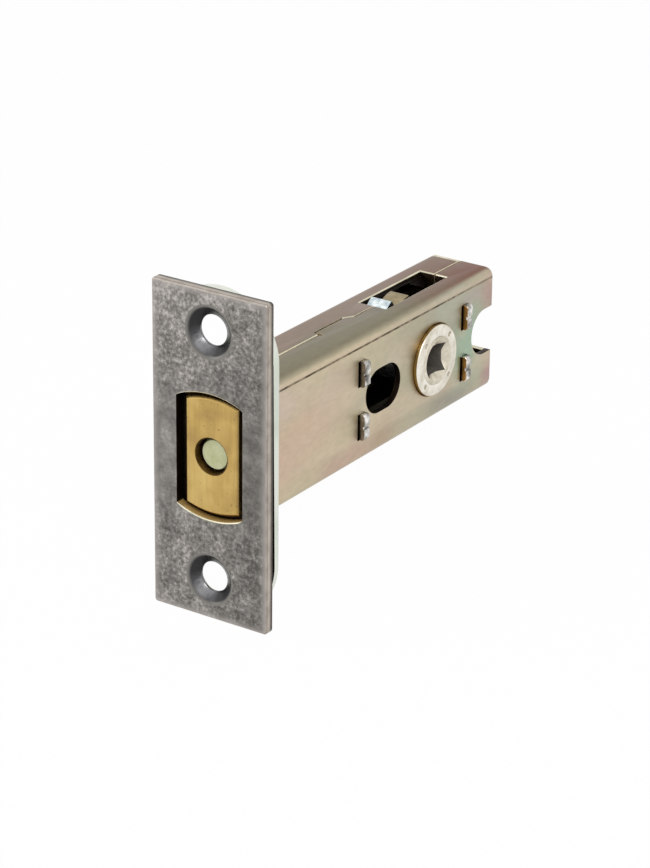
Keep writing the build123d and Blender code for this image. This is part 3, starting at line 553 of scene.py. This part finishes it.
# the sheared lips: the window's edges on each half, the far half's edge beside the seam, run by run so that
# a short jog doesn't narrow the others, and the golden lips of the hub's holes
# the lips' bright cream is partly the sheared zinc's own colour and partly a painted highlight
for lowX, highX in case["windowHalvesX"]:
    wearEdges(casePiece, case["windowEdgeMm"], 1,
              lambda a, b: onRoof(a, b) and min(a.x, b.x) > lowX and max(a.x, b.x) < highX
              and min(a.y, b.y) > windowLow - nearMm and max(a.y, b.y) < windowHigh + nearMm)
wearEdges(casePiece, case["seamEdgeMm"], 1,
          lambda a, b: max(abs(a.x - case["lipX"]), abs(b.x - case["lipX"])) < touchMm
          and min(a.z, b.z) > innerZ + nearMm and min(a.y, b.y) > windowHigh
          and abs(a.z - b.z) < case["lipClimbMm"])
wearEdges(casePiece, case["seamEdgeMm"], 1,
          lambda a, b: onRoof(a, b) and max(a.x, b.x) < case["lipReachX"][1] and abs(a.x - b.x) > case["rampAcrossMm"]
          and min(a.y, b.y) > case["rampMm"][0] and max(a.y, b.y) < case["rampMm"][1])
for startMm, endMm in case["seamRunsMm"]:
    wearEdges(casePiece, case["seamEdgeMm"], 1,
              lambda a, b: onRoof(a, b) and max(a.x, b.x) < case["lipReachX"][1]
              and min(a.x, b.x) > case["lipReachX"][0] and abs(a.x - b.x) < touchMm
              and min(a.y, b.y) > startMm and max(a.y, b.y) < endMm and (a - b).length > case["runMm"])
wearEdges(casePiece, case["holeRimMm"], 4,
          lambda a, b: min(abs(a.x), abs(b.x)) > caseHigh.x - touchMm
          and max(abs(fromHub(p) - case["hubHoleMm"]) for p in (a, b)) < nearMm)
soften(casePiece, case["roundMm"])
# the rear flaps' inner faces and the window's walls in painted shade; the flaps' lower edge and the notch's rear edges
# in the bright cream, partly a painted highlight
paintFaces(casePiece, 2, lambda c, n: c.y > caseHigh.y - case["flapMm"] and n.y < -sideOn
           and abs(c.x) < innerX + nearMm)
paintFaces(casePiece, 1, lambda c, n: c.y > caseHigh.y - case["sheetMm"] - nearMm and n.z > mostOn
           and abs(c.x) < innerX + closeMm and c.z < 0)
paintFaces(casePiece, 2, lambda c, n: abs(c.x) < case["windowX"] + closeMm and abs(n.z) < leanOn
           and case["windowZ"] < c.z < caseHigh.z - case["windowEdgeMm"]
           and windowLow - closeMm < c.y < windowHigh + closeMm)
paintFaces(casePiece, 1, lambda c, n: c.y > caseHigh.y - case["notchMm"][0] and n.y > leanOn and abs(c.x) > innerX
           and abs(c.z) < case["notchMm"][1])
# cuts round the whole case: one before the rear bend, whose far half gets a painted highlight in bright cream,
# and four for the pressed line, where the strip between the middle two is pushed in
rearCut = caseHigh.y - case["rearRimMm"]
lineFoot, lineLow, lineHigh, lineTop = case["lineMm"]
cutAcross((0, rearCut, 0), (0, 1, 0))
for cut in case["lineMm"]:
    cutAcross((0, 0, cut), (0, 0, 1))
# painted highlight: the far half's rear bend, facing up, in bright cream
paintFaces(casePiece, 1, lambda c, n: c.y > rearCut and n.z > leanOn and c.z > caseHigh.z - case["rearBendMm"]
           and c.x < case["lipReachX"][1])
for side in (1, -1):
    selectFaces(casePiece, lambda c, n: n.x * side > faceOn and c.x * side > skinX
                and lineLow - hairMm < c.z < lineHigh + hairMm)
    bpy.ops.transform.translate(value=(-side * case["lineDeepMm"] * mm, 0, 0))
    bpy.ops.object.mode_set(mode="OBJECT")
# painted shade: the pressed line's groove in dark brown
paintFaces(casePiece, 3, lambda c, n: abs(c.x) > skinX and abs(n.y) < sideOn
           and lineFoot - hairMm < c.z < lineTop + hairMm)
bpy.ops.object.shade_smooth_by_angle(angle=sharpAngle)
print("case done:", len(casePiece.data.polygons), "faces")

# staked plates: the tabs' upset ends, a film on the faces turned away from the stake, and painted shade where each tab
# leaves the case wall
staked = {
    "rootMm": 0.06, "roundMm": 0.3,
    # steel upset by the punch: bright and dark facets
    "ends": {"cloudMm": 1.4, "tones": [(0.34, "#6f6d6a"), (0.50, "#b2afaa"), (0.66, "#eeebe6")],
             "grainMm": (0.3, 0.3, 0.8), "grainDepth": 0.10, "roughness": (0.22, 0.36)},
    # thick chromate: amber at the rear; dull umber at the front, which is partly painted shade on faces turned from the
    # light
    "amber": {"cloudMm": 1.8, "tones": [(0.30, "#8a6233"), (0.60, "#b98a50")], "grainMm": (0.4, 0.4, 0.4),
              "grainDepth": 0.08, "roughness": (0.35, 0.5)},
    "umber": {"cloudMm": 1.8, "tones": [(0.30, "#7a6f62"), (0.65, "#a79c8d")], "grainMm": (0.4, 0.4, 0.4),
              "grainDepth": 0.08, "roughness": (0.35, 0.5)}}
brightSteel = satinMetal("upsetSteel", staked["ends"])
rootX = caseHigh.x + staked["rootMm"]
for nodeName, pieceName, film in (("front_guide_plate", "frontGuidePlate", "umber"),
                                  ("rear_spacer_plate", "rearSpacerPlate", "amber")):
    guide = pieceFrom(nodeName, pieceName, satinMetal(film + "ZincPassivate", staked[film]), brightSteel, paintedShadeSteel)
    for cut in (rootX, -rootX):
        cutAcross((cut, 0, 0), (1, 0, 0))
    paintFaces(guide, 1, lambda c, n: n.y > -faceOn)
    # painted shade: the plate inside the case wall dark, which shows as a strip beside each tab
    paintFaces(guide, 2, lambda c, n: abs(c.x) < rootX)
    soften(guide, staked["roundMm"], 3)
print("staked plates done")

# hub: two bushes with punched dimples, a core with a square bore and an arm, and the cam
hub = {
    "rimMm": 6.2, "frontEdgeMm": 0.35, "dimplesMm": (4.6, 6), "dimpleDeepMm": 0.5, "bushRoundMm": 0.1,
    "endMm": (5, 5), "boreMm": 3.7, "armMm": 5, "roundMm": 0.15,
    # die-cast zinc alloy: ivory, soft
    "bush": {"cloudMm": 2.5, "tones": [(0.30, "#cfc8b8"), (0.50, "#e6e0d2"), (0.70, "#f4f0e6")],
             "grainMm": (0.5, 0.5, 0.5), "grainDepth": 0.05, "roughness": (0.32, 0.46)},
    # the same alloy, greyer where it was punched
    "dimple": {"cloudMm": 2.0, "tones": [(0.30, "#b3ab9a"), (0.65, "#cbc3b2")], "grainMm": (0.5, 0.5, 0.5),
               "grainDepth": 0.05, "roughness": (0.4, 0.5)},
    # faced off on a lathe: a shade darker than the bush
    "end": {"cloudMm": 2.0, "tones": [(0.30, "#c3bba8"), (0.55, "#dcd4c2"), (0.72, "#ece5d6")],
            "grainMm": (0.5, 0.5, 0.5), "grainDepth": 0.06, "roughness": (0.32, 0.46)},
    # blue chromate on zinc: blue-white and crystalline
    "core": {"cloudMm": 0.9, "tones": [(0.34, "#b5c2c8"), (0.50, "#d3dfe2"), (0.64, "#f3f9f8")],
             "grainMm": (0.35, 0.35, 0.35), "grainDepth": 0.10, "roughness": (0.28, 0.45)},
    # the arm's cut flanks: slate blue, partly the cut face's own colour and partly painted shade on the arm's sides
    "flank": {"cloudMm": 1.0, "tones": [(0.32, "#39424c"), (0.52, "#525d68"), (0.68, "#76828c")],
              "grainMm": (0.35, 0.35, 0.35), "grainDepth": 0.1, "roughness": (0.3, 0.45)},
    # broached bore: dull warm grey
    "bore": {"metallic": 0.2, "cloudMm": 2.0, "tones": [(0.30, "#605c56"), (0.65, "#746f68")],
             "grainMm": (0.4, 0.4, 0.4), "grainDepth": 0.06, "roughness": (0.4, 0.55)},
    # chromated strip: olive
    "cam": {"cloudMm": 2.0, "tones": [(0.30, "#857a5c"), (0.65, "#a6987a")], "grainMm": (0.4, 0.4, 0.4),
            "grainDepth": 0.08, "roughness": (0.34, 0.48)}}
ivory = satinMetal("castZincAlloy", hub["bush"])
greyed = satinMetal("punchedZincAlloy", hub["dimple"])
for side in ("right", "left"):
    bush = pieceFrom("hub_bush_" + side, "hubBush" + side.capitalize(), ivory, greyed, goldRim)
    paintFaces(bush, 2, lambda c, n: abs(n.x) < sideOn and fromHub(c) > hub["rimMm"])
    paintFaces(bush, 1, lambda c, n: hub["dimplesMm"][0] < fromHub(c) < hub["dimplesMm"][1]
               and touchMm < hubHigh.x - abs(c.x) < hub["dimpleDeepMm"])
    wearEdges(bush, hub["frontEdgeMm"], 0,
              lambda a, b: min(abs(a.x), abs(b.x)) > hubHigh.x - touchMm and min(fromHub(a), fromHub(b)) > hub["rimMm"])
    soften(bush, hub["bushRoundMm"])
core = pieceFrom("hub_core", "hubCore", satinMetal("blueWhiteZinc", hub["core"]),
                 satinMetal("machinedZincAlloy", hub["end"]), satinMetal("slateZinc", hub["flank"]),
                 satinMetal("broachedBore", hub["bore"]))
paintFaces(core, 1, lambda c, n: abs(c.x) > hub["endMm"][0] and fromHub(c) < hub["endMm"][1])
paintFaces(core, 3, lambda c, n: fromHub(c) < hub["boreMm"] and abs(n.x) < leanOn)
# partly painted shade: the arm's sides in slate blue
paintFaces(core, 2, lambda c, n: c.z > hub["armMm"] and abs(n.x) > sideOn)
soften(core, hub["roundMm"])
cam = pieceFrom("hub_cam", "hubCam", satinMetal("oliveZincPassivate", hub["cam"]))
soften(cam, hub["roundMm"])
print("hub done")

# tail, rivets, drive pin and friction spring keep the CAD shape, in zinc-plated strip: dull brown-grey, drawn along
innerLook = {"cloudMm": 5.0, "tones": [(0.30, "#4d463a"), (0.60, "#6d6552")], "grainMm": (0.5, 4.0, 0.5),
             "grainDepth": 0.08, "roughness": (0.34, 0.48)}
innerSteel = satinMetal("zincPlatedStrip", innerLook)
for nodeName in ("bolt_tail", "tail_rivet_upper", "tail_rivet_lower", "drive_pin", "friction_spring"):
    for slot in nodes[nodeName].material_slots:
        slot.material = innerSteel
print("inner pieces done")

# studio: a pale floor, a white surround and two softboxes
studio = {"floorColour": "#f4f4f4", "floorSize": 6, "floorMix": 0.97, "worldStrength": 0.55,
          "lamps": {"keySoftbox": {"place": (0.35, -0.35, 0.55), "size": 0.35, "power": 2.2},
                    "fillSoftbox": {"place": (-0.55, -0.30, 0.30), "size": 0.5, "power": 0.8}}}
low, high = cadBox
middle = (low + high) / 2


# one for the rays that show a surface white: the camera's own, and those seen in metal or through glass
def shownWhite(tree):
    ray = addNode(tree, "ShaderNodeLightPath")
    seen = addNode(tree, "ShaderNodeMath", {"operation": "MAXIMUM"},
                   {0: ray.outputs["Is Camera Ray"], 1: ray.outputs["Is Glossy Ray"]})
    return addNode(tree, "ShaderNodeMath", {"operation": "MAXIMUM"},
                   {0: seen.outputs[0], 1: ray.outputs["Is Transmission Ray"]}).outputs[0]


bpy.ops.object.select_all(action="DESELECT")
bpy.ops.mesh.primitive_plane_add(size=studio["floorSize"], location=(0, 0, low.z))
floor = bpy.context.object
floor.name = "paleFloor"
bpy.ops.object.transform_apply(location=True)
# matt pale paint that shows as white and keeps the shadow
floorPaint = bpy.data.materials.new("paleFloorPaint")
floorPaint.use_nodes = True
tree = floorPaint.node_tree
tree.nodes.clear()
matt = addNode(tree, "ShaderNodeBsdfDiffuse", {"Color": studio["floorColour"]})
glow = addNode(tree, "ShaderNodeEmission", {"Strength": 1.0})
share = addNode(tree, "ShaderNodeMath", {"operation": "MULTIPLY", 1: studio["floorMix"]}, {0: shownWhite(tree)})
paint = addNode(tree, "ShaderNodeMixShader", links={0: share.outputs[0], 1: matt.outputs[0], 2: glow.outputs[0]})
addNode(tree, "ShaderNodeOutputMaterial", links={"Surface": paint.outputs[0]})
floor.data.materials.append(floorPaint)

world = bpy.data.worlds.new("whiteSurround")
bpy.context.scene.world = world
world.use_nodes = True
tree = world.node_tree
tree.nodes.clear()
level = addNode(tree, "ShaderNodeMapRange", {"To Min": studio["worldStrength"], "To Max": 1.0},
                {"Value": shownWhite(tree)})
sky = addNode(tree, "ShaderNodeBackground", {"Color": "#ffffff"}, {"Strength": level.outputs[0]})
addNode(tree, "ShaderNodeOutputWorld", links={"Surface": sky.outputs[0]})

for name, lamp in studio["lamps"].items():
    light = bpy.data.lights.new(name, "AREA")
    light.size = lamp["size"]
    light.energy = lamp["power"]
    softbox = bpy.data.objects.new(name, light)
    softbox.location = lamp["place"]
    softbox.rotation_euler = (middle - Vector(lamp["place"])).to_track_quat("-Z", "Y").to_euler()
    bpy.context.scene.collection.objects.link(softbox)
print("studio done")

# camera: a long lens from ahead, to the right and above
view = {"aimMm": (0, 38, 0), "azimuth": 33.53, "elevation": 22.17, "roll": 0.77, "distanceMm": 530.6,
        "lens": 173.66, "sensorWidth": 36, "shift": (-0.0251, -0.0754), "clipStart": 0.01}
azimuth, elevation, roll = (math.radians(view[key]) for key in ("azimuth", "elevation", "roll"))
back = Vector((math.sin(azimuth) * math.cos(elevation), -math.cos(azimuth) * math.cos(elevation),
               math.sin(elevation)))
flatRight = Vector((math.cos(azimuth), math.sin(azimuth), 0))
right = flatRight * math.cos(roll) + back.cross(flatRight) * math.sin(roll)
lens = bpy.data.cameras.new("photoCamera")
lens.lens = view["lens"]
lens.sensor_fit = "HORIZONTAL"
lens.sensor_width = view["sensorWidth"]
lens.shift_x, lens.shift_y = view["shift"]
lens.clip_start = view["clipStart"]
camera = bpy.data.objects.new("photoCamera", lens)
turn = Matrix((right, back.cross(right), back)).transposed()
stand = Vector(view["aimMm"]) * mm + back * view["distanceMm"] * mm
camera.matrix_world = Matrix.Translation(stand) @ turn.to_4x4()
bpy.context.scene.collection.objects.link(camera)
bpy.context.scene.camera = camera
bpy.context.scene.view_settings.view_transform = "Standard"

print("camera done")
